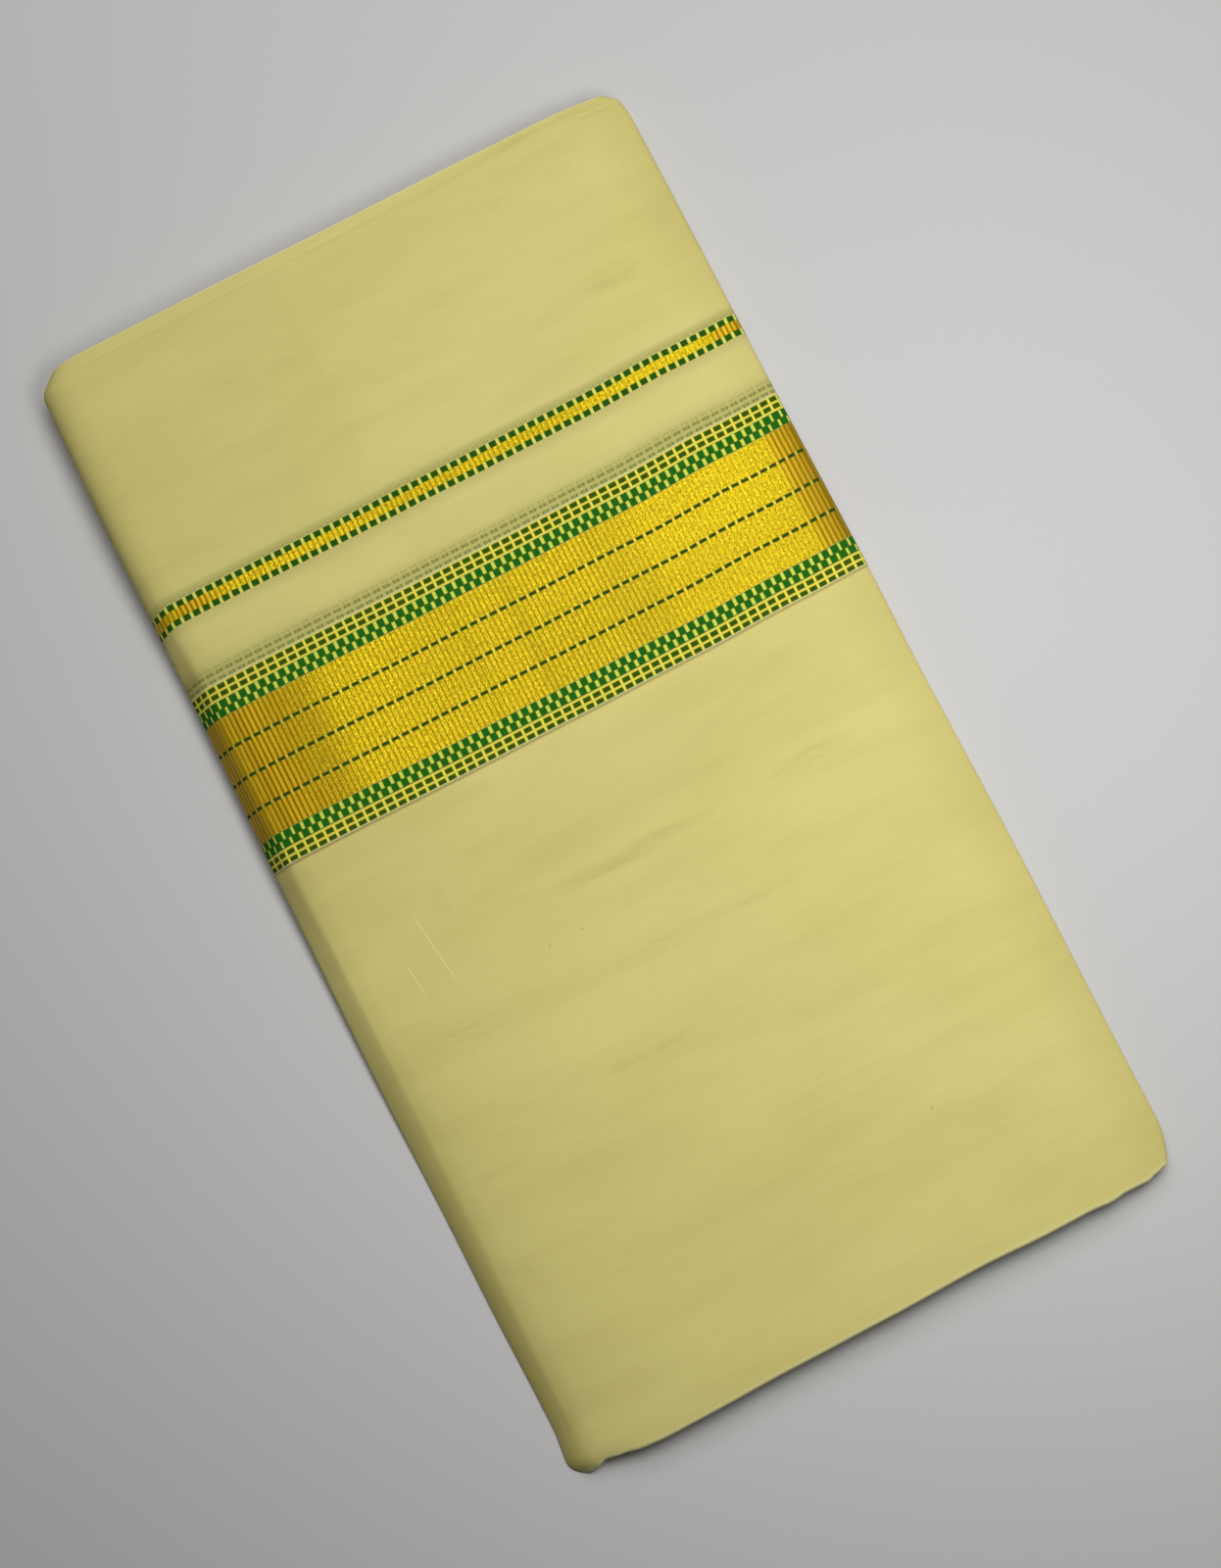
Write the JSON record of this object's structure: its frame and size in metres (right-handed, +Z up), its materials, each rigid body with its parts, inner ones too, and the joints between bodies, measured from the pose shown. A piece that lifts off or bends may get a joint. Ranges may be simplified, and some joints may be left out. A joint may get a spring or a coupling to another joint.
{
  "type": "folded dhoti cloth",
  "caption": "Fine cream cotton dhoti folded into a flat rectangular pack, with one end turned over as a flap that shows a woven gold and green zari border across the pack.",
  "frame": {"origin": "centre of the pack's bounding box, on the surface it lies on", "axes": "+Z up; Y along the pack's long side, +Y towards the turned-over edge; +X towards the side with two bends"},
  "size_m": [0.2351, 0.4315, 0.0166],
  "materials": {
    "cotton": "fine soft cream cotton, faintly lustrous, plain weave",
    "bordered_cotton": "the same cream cotton with a border woven in gold metallic and green thread"
  },
  "bodies": {
    "root": {"inner_folds": "cotton", "lower_panel": "cotton", "border_flap": "bordered_cotton"}
  },
  "joints": []
}
